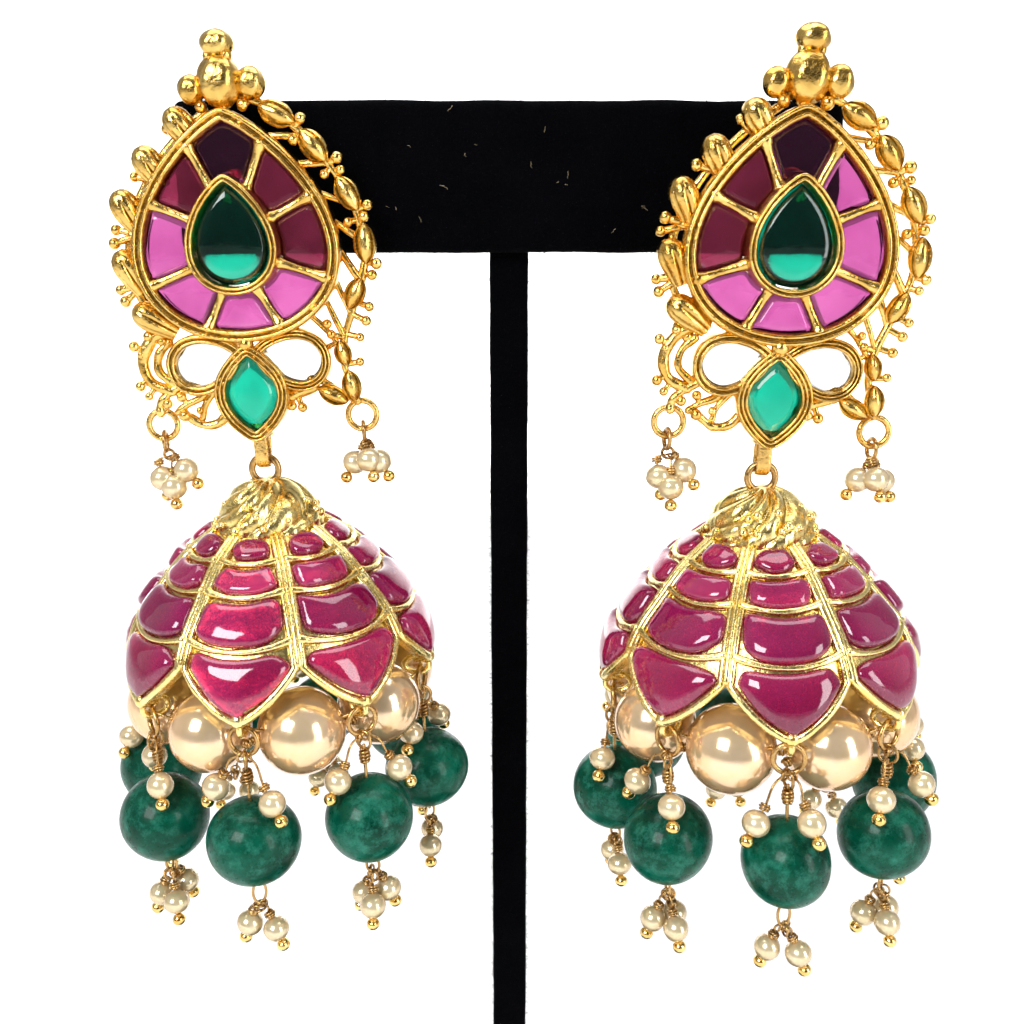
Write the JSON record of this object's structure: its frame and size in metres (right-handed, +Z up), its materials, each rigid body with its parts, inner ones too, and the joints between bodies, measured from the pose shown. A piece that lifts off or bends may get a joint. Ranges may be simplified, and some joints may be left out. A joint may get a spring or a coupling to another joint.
{
  "type": "pair of jhumka earrings on a T-bar display stand",
  "caption": "Pair of jhumka earrings on a plain velvet T-bar stand: teardrop stud with inlaid stones, domed bell with pearls and green bead drops.",
  "frame": {"origin": "on the floor under the middle of the whole assembly", "axes": "+Z up, the front faces -Y, +X to the right as seen from the front"},
  "size_m": [0.0852, 0.056, 0.1451],
  "materials": {
    "velvet": "matt black velvet",
    "gold": "polished gold plate",
    "dome_gold": "polished gold plate with ruby stones set in it",
    "ruby_glass": "clear pink glass",
    "emerald_glass": "clear green glass",
    "clear_glass": "clear glass",
    "pearl": "champagne pearl",
    "green_stone": "polished mottled green stone"
  },
  "bodies": {
    "stand": {"stand_tee": "velvet", "stand_base": "velvet", "left_stud_frame": "gold", "left_ear_post": "gold", "left_plaque_ruby_1": "ruby_glass", "left_plaque_ruby_2": "ruby_glass", "left_plaque_ruby_3": "ruby_glass", "left_plaque_ruby_4": "ruby_glass", "left_plaque_ruby_5": "ruby_glass", "left_plaque_ruby_6": "ruby_glass", "left_plaque_ruby_7": "ruby_glass", "left_plaque_ruby_8": "ruby_glass", "left_centre_emerald": "emerald_glass", "left_marquise_emerald": "emerald_glass", "left_clear_drop_left": "clear_glass", "left_clear_drop_right": "clear_glass", "left_side_link_left": "gold", "left_side_link_right": "gold", "right_stud_frame": "gold", "right_ear_post": "gold", "right_plaque_ruby_1": "ruby_glass", "right_plaque_ruby_2": "ruby_glass", "right_plaque_ruby_3": "ruby_glass", "right_plaque_ruby_4": "ruby_glass", "right_plaque_ruby_5": "ruby_glass", "right_plaque_ruby_6": "ruby_glass", "right_plaque_ruby_7": "ruby_glass", "right_plaque_ruby_8": "ruby_glass", "right_centre_emerald": "emerald_glass", "right_marquise_emerald": "emerald_glass", "right_clear_drop_left": "clear_glass", "right_clear_drop_right": "clear_glass", "right_side_link_left": "gold", "right_side_link_right": "gold"},
    "jhumka_left": {"left_dome": "dome_gold", "left_pearl_ring": "pearl", "left_green_drop_1": "green_stone", "left_green_drop_2": "green_stone", "left_green_drop_3": "green_stone", "left_green_drop_4": "green_stone", "left_green_drop_5": "green_stone", "left_green_drop_6": "green_stone", "left_green_drop_7": "green_stone", "left_green_drop_8": "green_stone"},
    "jhumka_right": {"right_dome": "dome_gold", "right_pearl_ring": "pearl", "right_green_drop_1": "green_stone", "right_green_drop_2": "green_stone", "right_green_drop_3": "green_stone", "right_green_drop_4": "green_stone", "right_green_drop_5": "green_stone", "right_green_drop_6": "green_stone", "right_green_drop_7": "green_stone", "right_green_drop_8": "green_stone"}
  },
  "joints": [
    {"name": "left_swing", "type": "hinge", "parent": "stand", "child": "jhumka_left", "pos_m": [-0.0253, 0, 0.1068], "axis": [1, 0, 0], "range_deg": [-30, 30]},
    {"name": "right_swing", "type": "hinge", "parent": "stand", "child": "jhumka_right", "pos_m": [0.0229, -0.0035, 0.1068], "axis": [1, 0, 0], "range_deg": [-30, 30]}
  ]
}
